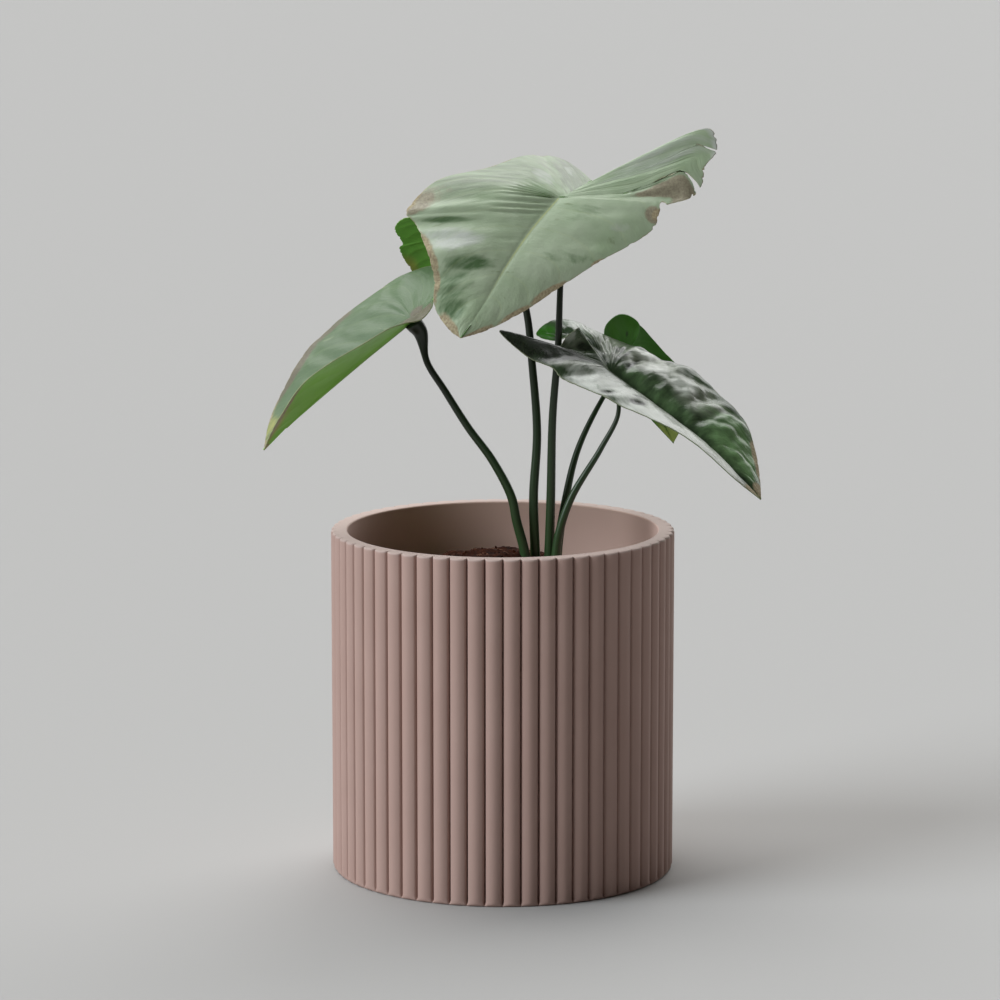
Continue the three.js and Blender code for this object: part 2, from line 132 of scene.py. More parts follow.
# Each leaf is drawn by its midrib and its two margins, from the apex round the lobes to the sinus.
# Left and right are as seen from the petiole looking to the apex, with the upper face up.
# arch lifts each half between midrib and margin, as a share of its width: [blade, lobe].
# channel is how deep the midrib runs below the blade beside it.
# folds are [place along the margin, half width, height at the margin].
# tears are [place along the margin, half width, depth as a share of the half's width, lean], where
# lean is how far along the margin the inner end of the tear lies from its mouth.
# slender is the petiole's radius near its top, and flare what it widens by to meet the blade.
NONE = {"left": [], "right": []}
LEAVES = {
    "top": {
        "up": [0, -0.83, 0.56],
        "midrib": [[-24, -45, 319], [-11, -37, 337], [1, -26, 356], [16, -11, 376], [32, 4, 393]],
        "sinus": [52, 11, 402],
        "left": [[-9, -41, 323], [12, -35, 333], [30, -27, 344], [51, -20, 357], [68, -13, 366],
                 [86, -6, 376], [92, -2, 389], [108, 6, 393], [115, 10, 401], [117, 14, 411],
                 [124, 20, 420], [118, 24, 432], [88, 18, 420]],
        "right": [[-31, -42, 324], [-39, -36, 337], [-39, -31, 351], [-44, -22, 367],
                  [-50, -11, 381], [-55, -5, 387], [-38, 8, 403], [-9, 22, 409], [10, 38, 414],
                  [25, 56, 413], [36, 58, 410], [45, 38, 406]],
        "arch": {"left": [0.04, 0.02], "right": [0.06, 0.05]},
        "channel": {"left": 0.6, "right": 0.6},
        "folds": {
            "left": [[0.43, 0.035, 1.2], [0.365, 0.035, -1], [0.56, 0.04, 1]],
            "right": [[0.458, 0.03, 1.6], [0.385, 0.035, -2.2], [0.292, 0.045, 3],
                      [0.231, 0.035, -1.8], [0.205, 0.03, 0.8], [0.123, 0.045, -1.5],
                      [0.755, 0.03, -1.5]],
        },
        "tears": {
            "left": [[0.5, 0.011, 0.1, 0], [0.61, 0.017, 0.15, 0.1], [0.61, 0.0035, 0.2, 0],
                     [0.781, 0.004, 0.125, 0.03]],
            "right": [],
        },
        "petiole": [[27, 1, 185], [28, 2, 219], [29, 2, 267], [32, 2, 306], [33, 4, 335],
                    [34, 9, 369]],
        "foot": [26, 1.5],
        "slender": 1.4,
        "flare": 0.8,
    },
    "left": {
        "up": [0, -0.2, 0.98],
        "midrib": [[-138, -12, 249], [-117, -7, 269], [-87, 0, 295], [-53, 8, 322]],
        "sinus": [-40, 11, 334],
        "left": [[-134, -17, 259], [-127, -25, 272], [-115, -32, 290], [-99, -36, 303],
                 [-80, -36, 314], [-66, -33, 322], [-56, -28, 325], [-47, -20, 326],
                 [-41, -6, 331]],
        "right": [[-136, -3, 261], [-132, 8, 272], [-122, 22, 290], [-111, 35, 305],
                  [-90, 46, 322], [-66, 52, 338], [-46, 48, 348], [-33, 38, 349], [-34, 22, 341]],
        "arch": {"left": [0.02, 0.03], "right": [0.05, 0.05]},
        "channel": {"left": 0, "right": 0.8},
        "folds": {"left": [], "right": [[0.3, 0.05, 0.8], [0.43, 0.05, -0.9], [0.62, 0.06, 0.9]]},
        "tears": NONE,
        "petiole": [[13, -3, 186], [8, -2, 206], [5, -1, 220], [-6, 1, 241], [-20, 3, 260],
                    [-34, 5, 282], [-44, 7, 298]],
        "foot": [14.5, -3],
        "slender": 1.8,
        "flare": 3.4,
    },
    "right": {
        "up": [0.1, -0.1, 0.99],
        "midrib": [[148, -35, 224], [119, -23, 250], [91, -13, 272], [63, -3, 292]],
        "sinus": [44, 6, 318],
        "left": [[148, -22, 234], [146, -8, 248], [139, 6, 265], [123, 18, 281], [107, 27, 291],
                 [91, 34, 297], [75, 37, 303], [56, 37, 311], [41, 36, 318], [28, 40, 317],
                 [20, 42, 309], [32, 24, 308]],
        "right": [[133, -43, 237], [110, -47, 258], [87, -46, 272], [66, -43, 280],
                  [49, -39, 288], [34, -34, 294], [28, -31, 300], [14, -29, 306], [-2, -24, 320],
                  [12, -18, 315], [29, -8, 306], [37, -1, 314]],
        "arch": {"left": [0.04, 0.1], "right": [0.06, -0.02]},
        "channel": {"left": 6, "right": 3.5},
        "folds": {
            "left": [[0.51, 0.03, 1.4], [0.45, 0.03, -1.2], [0.37, 0.045, 1.8],
                     [0.29, 0.035, -1.2], [0.2, 0.05, 1.2]],
            "right": [[0.34, 0.05, 0.9], [0.24, 0.05, -0.7]],
        },
        "tears": NONE,
        "petiole": [[31, -5, 186], [33, -5, 200], [40, -4, 220], [57, 0, 248], [67, 2, 268], [66, 3, 279]],
        "foot": [30.5, -5.5],
        "slender": 0.9,
        "flare": 0.5,
    },
    "back_right": {
        "up": [-0.1, 0.95, 0.2],
        "midrib": [[101, 46, 244], [89, 56, 265], [78, 60, 282], [71, 53, 297]],
        "sinus": [76, 55, 301],
        "left": [[89, 52, 256], [76, 56, 270], [64, 56, 291], [60, 51, 310], [66, 47, 319],
                 [73, 47, 320], [80, 48, 315], [80, 50, 308]],
        "right": [[108, 56, 256], [110, 67, 269], [105, 76, 284], [96, 79, 294], [89, 78, 302],
                  [82, 74, 310], [74, 69, 314], [71, 62, 310]],
        "arch": {"left": [0.08, 0.08], "right": [0.08, 0.08]},
        "channel": {"left": 0.5, "right": 0.5},
        "folds": {"left": [[0.35, 0.08, 0.8]], "right": []},
        "tears": NONE,
        "petiole": [[32, 5, 185], [37, 9, 218], [44, 16, 245], [59, 28, 274]],
        "foot": [32, 6],
        "slender": 0.8,
        "flare": 0.4,
    },
    "back_left": {
        "up": [0, 0.75, 0.66],
        "midrib": [[-51, 62, 334], [-37, 62, 350], [-20, 50, 364], [-2, 28, 377]],
        "sinus": [7, 24, 385],
        "left": [[-53, 62, 343], [-58, 61, 351], [-61, 60, 358], [-59, 60, 361], [-63, 57, 368],
                 [-63, 55, 372], [-59, 52, 376], [-52, 49, 378], [-37, 40, 386], [-13, 30, 392],
                 [4, 26, 391]],
        "right": [[-37, 78, 330], [-17, 88, 333], [4, 84, 342], [22, 66, 362], [25, 48, 379],
                  [18, 36, 385], [13, 30, 386]],
        "arch": {"left": [0.06, 0.06], "right": [0.08, 0.08]},
        "channel": {"left": 0.5, "right": 0.5},
        "folds": {"left": [], "right": [[0.3, 0.08, 0.9], [0.5, 0.08, -0.9]]},
        "tears": NONE,
        "petiole": [[19, 3, 185], [18, 5, 219], [20, 9, 256], [17, 14, 297], [14, 18, 325],
                    [6, 22, 354]],
        "foot": [19.5, 3],
        "slender": 1.8,
        "flare": 0.8,
    },
}

# How each blade is dressed. veins, bend and puff shape the blade between its lateral veins, blister
# its fine unevenness, and nibble its worn margin, all in millimetres but the first two. puff and
# blister are for the left and the right half.
# Places on a half are [along, out], with along from 0 at the apex to 1 at the sinus and out from 0 at
# the midrib to 1 at the margin.
# fill raises the bottom of the midrib's channel, in millimetres.
# rib_end is how far along the midrib shows, and ashen the two colours of ashen tissue.
# edge is the colour of the margin, and edge_line how strongly it shows on the blade's faces.
# frays are [along, reach along, further nibble].
# patches are, for each of the kinds below, [place..., reach along, reach out, strength].
# mounds are [place..., reach along, reach out, height], and a crease is a mound of negative height.
# ripples are [first along, last along, spacing, first out, last out, height].
# Three of these kinds are painted light: deep is painted shade in the creases and folds, in each leaf's
# deep colour, pale a painted grey sheen, and the kind after pale painted white highlights, where the blade
# catches the light.
PATCHES = ("dry", "ashen", "deep", "pale", "painted_highlight", "fresh", "green")
MARKS = ("from_rib", "from_edge", "rib_show", *PATCHES)
ASHEN = ["#7f7664", "#958f77"]
DRESS = {
    "top": {
        "slot": "leaf_pale", "rows": 420, "veins": 13, "bend": 1.2, "puff": [0.2, 0.2],
        "blister": [0.25, 0.25], "nibble": 0.7, "light": "#a9b79c", "dark": "#96aa88",
        "deep": "#4f6b44", "fresh": "#a3a86a", "under": "#557f3a", "rib": "#bcc58c", "rib_line": 0.8,
        "rib_end": 0.6, "ashen": ["#89816e", "#9f9981"], "roughness": 0.42, "edge": "#c4c1a4",
        "edge_line": 0.7, "fill": 0.55,
        "frays": {
            "left": [[0.6, 0.3, 2.5], [0.47, 0.06, 2], [0.3, 0.2, 0.6], [0.84, 0.1, 2.2]],
            "right": [],
        },
        "patches": {
            "left": {
                "dry": [[0.04, 0.95, 0.07, 0.5, 0.9], [0.13, 0.98, 0.05, 0.26, 0.9],
                        [0.2, 0.99, 0.06, 0.23, 0.95], [0.3, 1, 0.03, 0.08, 0.8],
                        [0.47, 1, 0.03, 0.1, 0.8]],
                "ashen": [[0.555, 0.85, 0.06, 0.42, 1], [0.465, 0.97, 0.035, 0.16, 0.9]],
                "deep": [[0.45, 0.4, 0.05, 0.25, 0.34], [0.3, 0.6, 0.03, 0.5, 0.34],
                         [0.72, 0.6, 0.02, 0.4, 0.4]],
                "painted_highlight": [[0.42, 0.72, 0.02, 0.16, 0.35], [0.8, 0.6, 0.12, 0.6, 0.5],
                          [0.82, 1, 0.12, 0.04, 1]],
            },
            "right": {
                "dry": [[0.25, 1, 0.16, 0.15, 0.85], [0.48, 1, 0.05, 0.07, 0.65],
                        [0.05, 0.95, 0.12, 0.4, 0.9]],
                "ashen": [[0.475, 0.96, 0.06, 0.2, 0.8], [0.5, 0.92, 0.06, 0.3, 0.44]],
                "deep": [[0.265, 0.5, 0.03, 0.5, 0.85], [0.13, 0.65, 0.055, 0.4, 0.75],
                         [0.4, 0.72, 0.02, 0.35, 0.75], [0.2, 0.7, 0.09, 0.5, 0.6]],
                "pale": [[0.62, 0.75, 0.22, 0.6, 0.6], [0.88, 0.4, 0.2, 1.2, 0.95]],
                "painted_highlight": [[0.33, 0.7, 0.05, 0.45, 0.85], [0.69, 0.42, 0.05, 0.3, 0.6],
                          [0.86, 0.6, 0.05, 0.3, 0.35]],
            },
        },
        "mounds": {
            "left": [[0.44, 0.6, 0.012, 0.25, 0.4]],
            "right": [[0.43, 0.2, 0.008, 0.16, -0.5], [0.34, 0.12, 0.008, 0.14, -0.5]],
        },
        "ripples": {"left": [], "right": [[0.42, 0.64, 0.022, 0.03, 0.5, 0.6]]},
    },
    "left": {
        "slot": "leaf_pale", "rows": 320, "veins": 12, "bend": 1.2, "puff": [0.25, 0.25],
        "blister": [0.3, 0.3], "nibble": 0.6, "light": "#5c7450", "dark": "#516847", "deep": "#4a6a38",
        # The left leaf's underside colour is painted bright green, standing in for light shining through
        # the blade
        "fresh": "#a3a35c", "under": "#8ccc55", "rib": "#94a86a", "rib_line": 0.3, "rib_end": 0.6,
        "ashen": ["#635d4d", "#716c58"], "roughness": 0.42, "edge": "#8d966c", "edge_line": 0.4,
        "fill": 0,
        "frays": NONE,
        "patches": {
            "left": {
                "dry": [[0.2, 0.97, 0.2, 0.1, 0.7], [0.14, 0.97, 0.12, 0.22, 0.8],
                        [0.5, 1, 0.06, 0.1, 0.7], [0.02, 0.8, 0.04, 0.9, 0.8]],
                "ashen": [[0.8, 0.6, 0.22, 0.9, 1]],
                "fresh": [[0.12, 0.9, 0.14, 0.35, 0.8]],
            },
            "right": {
                "dry": [[0.12, 0.1, 0.1, 0.3, 0.55], [0.02, 0.8, 0.04, 0.9, 0.8],
                        [0.16, 1, 0.1, 0.16, 0.6]],
                "ashen": [[0.7, 0, 0.22, 0.22, 0.9], [0.3, 0.98, 0.18, 0.2, 0.85],
                          [0.45, 0.97, 0.1, 0.14, 0.7]],
                "deep": [[0.62, 0.8, 0.03, 0.12, 0.5]],
                "fresh": [[0.08, 0.8, 0.1, 0.5, 0.7]],
            },
        },
        "mounds": NONE,
        "ripples": {"left": [], "right": [[0.12, 0.6, 0.06, 0.15, 1, 0.3]]},
    },
    "right": {
        "slot": "leaf_dark", "rows": 420, "veins": 12, "bend": 1.5, "puff": [0.9, 0.3],
        "blister": [1.0, 0.35], "nibble": 0.6, "light": "#42573a", "dark": "#2d3e27", "deep": "#1c2818",
        "fresh": "#6a8c5c", "under": "#5c8f34", "rib": "#7d8f68", "rib_line": 0.6, "rib_end": 1,
        "ashen": ASHEN, "roughness": 0.27, "edge": "#828c70", "edge_line": 0.35, "fill": 0,
        "frays": NONE,
        "patches": {
            "left": {
                "dry": [[0.12, 1, 0.09, 0.22, 0.95], [0.02, 0.8, 0.05, 0.9, 0.9]],
                "deep": [[0.47, 0.36, 0.012, 0.3, 0.9], [0.505, 0.45, 0.012, 0.2, 0.9],
                         [0.44, 0.98, 0.04, 0.12, 0.7], [0.55, 0.56, 0.02, 0.2, 0.8]],
                "pale": [[0.3, 0.55, 0.12, 0.5, 0.9], [0.45, 0.6, 0.14, 0.5, 1],
                         [0.62, 0.65, 0.14, 0.5, 0.95], [0.88, 0.3, 0.12, 0.5, 0.9]],
                "painted_highlight": [[0.71, 0.78, 0.07, 0.3, 0.9], [0.62, 0.3, 0.04, 0.28, 0.9],
                          [0.55, 0.4, 0.03, 0.22, 0.8], [0.48, 0.72, 0.05, 0.3, 0.9],
                          [0.58, 0.3, 0.05, 0.25, 0.75], [0.41, 0.48, 0.05, 0.25, 0.85],
                          [0.33, 0.5, 0.05, 0.3, 0.8]],
                "fresh": [[0.14, 0.55, 0.17, 0.8, 0.85], [0.38, 0.12, 0.2, 0.2, 0.4]],
                "green": [[0.85, 0.95, 0.09, 0.4, 1]],
            },
            "right": {
                "dry": [[0.02, 0.8, 0.05, 0.9, 0.9]],
                "deep": [[0.88, 0.25, 0.05, 0.4, 0.9], [0.31, 0.6, 0.02, 0.25, 0.9],
                         [0.36, 0.82, 0.02, 0.18, 0.9], [0.34, 0.35, 0.015, 0.2, 0.7],
                         [0.68, 0.5, 0.05, 0.5, 0.8], [0.67, 0.7, 0.14, 0.8, 1]],
                "pale": [[0.56, 0.5, 0.1, 0.6, 1], [0.9, 0.6, 0.12, 0.8, 0.6]],
                "painted_highlight": [[0.68, 0.98, 0.03, 0.25, 0.7], [0.4, 0.65, 0.14, 0.6, 1],
                          [0.24, 0.6, 0.16, 0.8, 1], [0.14, 0.7, 0.12, 0.9, 1],
                          [0.82, 0.66, 0.03, 0.2, 0.9], [0.53, 0.35, 0.06, 0.3, 0.8],
                          [0.34, 0.22, 0.09, 0.3, 1], [0.2, 0.24, 0.12, 0.4, 1],
                          [0.6, 0.7, 0.03, 0.25, 0.6], [0.5, 0.6, 0.05, 0.4, 0.7],
                          [0.93, 0.85, 0.05, 0.35, 0.8], [0.745, 0.98, 0.02, 0.2, 0.7]],
            },
        },
        "mounds": {
            "left": [[0.48, 0.7, 0.022, 0.16, 2.2], [0.48, 0.7, 0.008, 0.06, -1.2],
                     [0.47, 0.38, 0.01, 0.3, -1.4], [0.58, 0.26, 0.03, 0.2, 1.6],
                     [0.41, 0.34, 0.03, 0.2, 1.6], [0.36, 0.28, 0.012, 0.1, 1.2],
                     [0.32, 0.44, 0.03, 0.25, 1.8], [0.29, 0.56, 0.012, 0.4, -1.0],
                     [0.24, 0.3, 0.012, 0.3, -0.8], [0.21, 0.6, 0.025, 0.3, 1.0]],
            "right": [[0.36, 0.82, 0.012, 0.12, -1.0], [0.31, 0.6, 0.012, 0.14, -1.0],
                      [0.46, 0.7, 0.02, 0.2, -0.9]],
        },
        "ripples": {"left": [[0.52, 0.72, 0.022, 0.3, 0.95, 0.7]], "right": []},
    },
    "back_right": {
        "slot": "leaf_green", "rows": 240, "veins": 10, "bend": 1.2, "puff": [0.15, 0.15],
        "blister": [0.2, 0.2], "nibble": 0.2, "light": "#4f8030", "dark": "#447428", "deep": "#2a4a1a",
        "fresh": "#a4b05c", "under": "#447f26", "rib": "#4f8030", "rib_line": 0.2, "rib_end": 0.6,
        "ashen": ASHEN, "roughness": 0.45, "edge": "#3f7424", "edge_line": 0, "fill": 0.3,
        "frays": NONE,
        "patches": {
            "left": {
                "deep": [[0.7, 0.48, 0.03, 0.12, 0.9]],
                "fresh": [[0.02, 0.6, 0.12, 1, 0.9]],
            },
            "right": {
                "fresh": [[0.02, 0.6, 0.12, 1, 0.9]],
            },
        },
        "mounds": NONE,
        "ripples": NONE,
    },
    "back_left": {
        "slot": "leaf_green", "rows": 320, "veins": 11, "bend": 1.2, "puff": [0.3, 0.3],
        "blister": [0.2, 0.2], "nibble": 1.2, "light": "#5c9038", "dark": "#4f8430", "deep": "#2c501a",
        "fresh": "#8d9440", "under": "#609a34", "rib": "#7ba344", "rib_line": 0.4, "rib_end": 0.6,
        "ashen": ASHEN, "roughness": 0.45, "edge": "#6f9a3c", "edge_line": 0.2, "fill": 0.3,
        "frays": NONE,
        "patches": {
            "left": {
                "dry": [[0.12, 1, 0.04, 0.1, 0.7]],
                "fresh": [[0.1, 0.95, 0.12, 0.45, 0.9]],
            },
            "right": {
                "dry": [[0.03, 0.9, 0.05, 0.5, 0.6]],
            },
        },
        "mounds": NONE,
        "ripples": NONE,
    },
}


# The setting of a Mix node that mixes colours, whose inputs 6 and 7 are the two colours
COLOURS = {"data_type": "RGBA"}


def linear(hex_colour):
    """An sRGB hex colour as the linear colour that a shader takes."""
    parts = [int(hex_colour[i:i + 2], 16) / 255 for i in (1, 3, 5)]
    return (*[p / 12.92 if p <= 0.04045 else ((p + 0.055) / 1.055) ** 2.4 for p in parts], 1)


def add(tree, kind, settings=None, **inputs):
    """Adds a shader node. Inputs are named by socket, with _ for a space or before a number, and
    hold a value, a hex colour, an output, or a node, which stands for its first output in use."""
    node = tree.nodes.new("ShaderNode" + kind)
    for name, value in (settings or {}).items():
        setattr(node, name, value)
    for name, value in inputs.items():
        socket = node.inputs[int(name[1:]) if name[1:].isdigit() else name.replace("_", " ")]
        if isinstance(value, bpy.types.Node):
            value = next(output for output in value.outputs if output.enabled)
        if isinstance(value, bpy.types.NodeSocket):
            tree.links.new(value, socket)
        else:
            socket.default_value = linear(value) if isinstance(value, str) else value
    return node


def spaced(size):
    """The scale of a pattern whose features are a size across, in millimetres."""
    return 1 / (size * MM)


def new_material(name):
    material = bpy.data.materials.new(name)
    material.use_nodes = True
    material.node_tree.nodes.clear()
    return material, material.node_tree


def finish_object(name, mesh_code, materials, slot, *replaced):
    """Turns mesh code into a piece that rides on the plant's one body."""
    mesh = bpy.data.meshes.new(name)
    mesh_code.to_mesh(mesh)
    mesh_code.free()
    for polygon in mesh.polygons:
        polygon.use_smooth = True
    for material in materials:
        mesh.materials.append(material)
    piece = bpy.data.objects.new(name, mesh)
    bpy.context.scene.collection.objects.link(piece)
    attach(piece, "root")
    if replaced:
        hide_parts(*replaced)
    return piece


# Curves

def hermite(a, b, leave, arrive, w):
    return a + leave * w + (3 * (b - a) - 2 * leave - arrive) * w ** 2 \
        + (2 * (a - b) + leave + arrive) * w ** 3


def spline(points, share):
    """A point of the uniform Catmull-Rom curve through the points, share from 0 to 1."""
    last = len(points) - 1
    i = min(int(share * last), last - 1)
    before = points[i - 1] if i > 0 else 2 * points[0] - points[1]
    after = points[i + 2] if i + 2 <= last else 2 * points[last] - points[last - 1]
    a, b = points[i], points[i + 1]
    return hermite(a, b, (b - before) / 2, (after - a) / 2, share * last - i)


def even_spline(points, count):
    """count + 1 points at even steps along the centripetal Catmull-Rom curve."""
    ends = [2 * points[0] - points[1], *points, 2 * points[-1] - points[-2]]
    dense = []
    for before, a, b, after in zip(ends, ends[1:], ends[2:], ends[3:]):
        t0, t1, t2 = [(q - p).length ** 0.5 for p, q in ((before, a), (a, b), (b, after))]
        leave = ((a - before) / t0 - (b - before) / (t0 + t1) + (b - a) / t1) * t1
        arrive = ((b - a) / t1 - (after - a) / (t1 + t2) + (after - b) / t2) * t1
        dense += [hermite(a, b, leave, arrive, k / CURVE_STEPS) for k in range(CURVE_STEPS)]
    dense.append(points[-1])
    gone = [0]
    for p, q in zip(dense, dense[1:]):
        gone.append(gone[-1] + (q - p).length)
    even, i = [], 0
    for step in range(count + 1):
        want = gone[-1] * step / count
        while i < len(dense) - 2 and gone[i + 1] < want:
            i += 1
        even.append(dense[i].lerp(dense[i + 1], (want - gone[i]) / (gone[i + 1] - gone[i])))
    return even


def smooth(low, high, value):
    share = min(1, max(0, (value - low) / (high - low)))
    return share * share * (3 - 2 * share)


def lerp(a, b, share):
    return a + (b - a) * share


# The pot

def arc(centre, radius, first, last):
    """Points of a round corner in the (radius, height) plane, by angle in degrees."""
    turns = [math.radians(lerp(first, last, k / ROUND_STEPS)) for k in range(ROUND_STEPS + 1)]
    return [(centre[0] + radius * math.cos(t), centre[1] + radius * math.sin(t)) for t in turns]


def spun(profile, steps):
    """A closed body spun from its profile of (radius, height) in millimetres."""
    shell = bmesh.new()
    corners = [shell.verts.new((r * MM, 0, z * MM)) for r, z in profile]
    edges = [shell.edges.new(pair) for pair in zip(corners, corners[1:])]
    bmesh.ops.spin(shell, geom=corners + edges, axis=(0, 0, 1), cent=(0, 0, 0),
                   angle=2 * math.pi, steps=steps, use_merge=True)
    bmesh.ops.remove_doubles(shell, verts=shell.verts, dist=0.01 * MM)
    bmesh.ops.recalc_face_normals(shell, faces=shell.faces)
    return shell


def rib_across(x, y):
    """The rib that a place lies on, and how far across it, -1 and 1 being its notches."""
    turn = (math.atan2(y, x) + math.pi / 2) / (2 * math.pi) * RIBS
    rib = math.floor(turn + 0.001)
    return rib, (turn - rib) * 2 - 1


def rib_shift(across, z):
    """How far the wall is drawn in: convex ribs and narrow notches that die away at the ends."""
    low = smooth(0, RIB_FOOT, z)
    high = lerp(RIM_SCALLOP, 1, smooth(0, RIB_HEAD, POT_HEIGHT - z))
    notch = RIB_NOTCH * smooth(NOTCH_START, 1, abs(across))
    return (RIB_DEPTH * across ** 2 + notch) * min(low, high)


def make_pot():
    wall, inner, top = POT_RADIUS, WALL_INNER_RADIUS, POT_HEIGHT
    profile = [(0, 0), *[(ring, 0) for ring in FLOOR_RINGS]]
    profile += arc((wall - BASE_ROUND, BASE_ROUND), BASE_ROUND, -90, 0)
    profile += [(wall, BASE_ROUND + 0.8), (wall, BASE_ROUND + 2)]
    profile += [(wall, z) for z in WALL_RINGS]
    profile += [(wall, top - 3 * RIM_ROUND), (wall, top - 2 * RIM_ROUND)]
    profile += arc((wall - RIM_ROUND, top - RIM_ROUND), RIM_ROUND, 0, 90)
    profile += [(wall - RIM_FLAT, top)]
    profile += arc((inner + INNER_ROUND, top - INNER_ROUND), INNER_ROUND, 90, 180)
    profile += [(inner, z) for z in reversed(WALL_RINGS)]
    profile += arc((inner - FLOOR_ROUND, FLOOR_THICKNESS + FLOOR_ROUND), FLOOR_ROUND, 0, -90)
    profile += [(FLOOR_RINGS[0], FLOOR_THICKNESS), (0, FLOOR_THICKNESS)]
    pot = spun(profile, RIBS * RIB_STEPS)
    # inside marks the inner wall, which is painted lighter to stand in for light bouncing about inside the
    # pot
    inside = pot.verts.layers.float.new("inside")
    # rim marks the rim's top, which gets a painted sheen, lighter and greyer
    rim = pot.verts.layers.float.new("rim")
    for corner in pot.verts:
        x, y, z = corner.co / MM
        reach = math.hypot(x, y)
        corner[inside] = smooth(inner + 1, inner, reach) * smooth(5, FLOOR_THICKNESS, z)
        corner[rim] = smooth(top - 1.5, top - 0.3, z) * smooth(inner, inner + 1, reach)
        if reach > WALL_INNER_RADIUS + 2:
            rib, even = rib_across(x, y)
            across = math.sin(even * math.pi / 2)
            turn = (rib + (across + 1) / 2) / RIBS * 2 * math.pi - math.pi / 2
            reach -= rib_shift(across, z) * smooth(inner + 2, wall - RIM_ROUND, reach)
            corner.co.x = reach * math.cos(turn) * MM
            corner.co.y = reach * math.sin(turn) * MM
    finish_object("pot_body", pot, [bisque_material()], "pot_ceramic", "pot")


def bisque_material():
    # Unglazed bisque with a tinted slip: dead matt, a fine tooth, and faint cloudy tints, with the inner
    # wall painted lighter for the light inside the pot and a painted sheen on the rim. The grit is drawn
    # some five times coarser than it is, so that it shows
    material, tree = new_material("tinted_bisque")
    where = add(tree, "TexCoord").outputs["Object"]
    cloud = add(tree, "TexNoise", Vector=where, Scale=spaced(45), Detail=3, Roughness=0.5)
    grit = add(tree, "TexNoise", Vector=where, Scale=spaced(0.7), Detail=2, Roughness=0.6)
    tint = add(tree, "Mix", COLOURS, Factor=cloud, _6="#b4978d", _7="#a98b81")
    speck = add(tree, "MapRange", Value=grit, From_Min=0.66, From_Max=0.78, To_Min=0, To_Max=0.35)
    specked = add(tree, "Mix", COLOURS, Factor=speck, _6=tint, _7="#957f76")
    # The inner wall is painted lighter, standing in for light that bounces about inside the pot
    inside = add(tree, "Attribute", {"attribute_name": "inside"}).outputs["Fac"]
    colour = add(tree, "Mix", COLOURS, Factor=inside, _6=specked, _7="#d6b6aa")
    # A painted sheen on the rim's top, lighter and greyer than the slip
    rim = add(tree, "Attribute", {"attribute_name": "rim"}).outputs["Fac"]
    colour = add(tree, "Mix", COLOURS, Factor=rim, _6=colour, _7="#b9a49c")
    bump = add(tree, "Bump", Height=grit, Strength=0.25, Distance=0.0001)
    surface = add(tree, "BsdfPrincipled", Base_Color=colour, Roughness=0.72, IOR=1.5, Normal=bump)
    add(tree, "OutputMaterial", Surface=surface)
    return material


# The soil and the corm

def soil_height(x, y):
    """The mound's height in millimetres, in shallow lumps some 15 to 30 mm long."""
    out = math.hypot(x - SOIL_PEAK[0], y - SOIL_PEAK[1]) / WALL_INNER_RADIUS
    lumps = math.sin(x * 0.19 + 1) * math.cos(y * 0.23) + 0.6 * math.sin(x * 0.08 - y * 0.41)
    return SOIL_TOP - SOIL_FALL * out * out + SOIL_LUMP * lumps


def soil_surface(x, y):
    """The soil's height with its clods and grains, in millimetres."""
    clods = noise.fractal(Vector((x, y, 0)) * 0.11, 0.9, 2.1, 4)
    grains = noise.fractal(Vector((x, y, 7)) * 0.6, 0.8, 2.0, 2)
    return soil_height(x, y) + SOIL_GRAIN * (clods * 0.8 + grains * 0.35)


def make_soil():
    radius = WALL_INNER_RADIUS - GAP
    bottom = FLOOR_THICKNESS + GAP
    profile = [(0, bottom), (radius - FLOOR_ROUND, bottom), (radius, bottom + FLOOR_ROUND),
               (radius, SOIL_MIDDLE)]
    profile += [(radius * ring / SOIL_RINGS, SOIL_TOP) for ring in range(SOIL_RINGS, -1, -1)]
    soil = spun(profile, SOIL_SIDES)
    for corner in soil.verts:
        x, y, z = corner.co / MM
        if z > SOIL_TOP - 1:
            corner.co.z = soil_surface(x, y) * MM
    peat = peat_material()
    finish_object("soil_bed", soil, [peat], "soil", "soil")
    make_crumbs(peat)
    make_fibres()


def clear_of_petioles(x, y, room):
    feet = [Vector(leaf["petiole"][0][:2]) for leaf in LEAVES.values()]
    return all((Vector((x, y)) - foot).length > room for foot in feet)


def make_crumbs(peat):
    draw = random.Random(5)
    crumbs = bmesh.new()
    reach = WALL_INNER_RADIUS - CRUMB_MARGIN
    for _ in range(CRUMBS):
        turn, out = draw.uniform(0, 2 * math.pi), reach * math.sqrt(draw.random())
        size = lerp(*CRUMB_SIZES, draw.random() ** 3)
        x, y = out * math.cos(turn), out * math.sin(turn)
        if not clear_of_petioles(x, y, PETIOLE_BASE_RADIUS + 0.2 + size):
            continue
        spin = Euler([draw.uniform(0, 6.28) for _ in range(3)]).to_matrix().to_4x4()
        stretch = Matrix.Diagonal((1, draw.uniform(0.6, 1), draw.uniform(0.5, 0.9), 1))
        place = Matrix.Translation(Vector((x, y, soil_surface(x, y) + size * 0.35)) * MM)
        made = bmesh.ops.create_icosphere(crumbs, subdivisions=1, radius=size * MM,
                                          matrix=place @ spin @ stretch)
        for corner in made["verts"]:
            corner.co += Vector([draw.uniform(-0.16, 0.16) * size * MM for _ in range(3)])
    finish_object("soil_crumbs", crumbs, [peat], "soil")


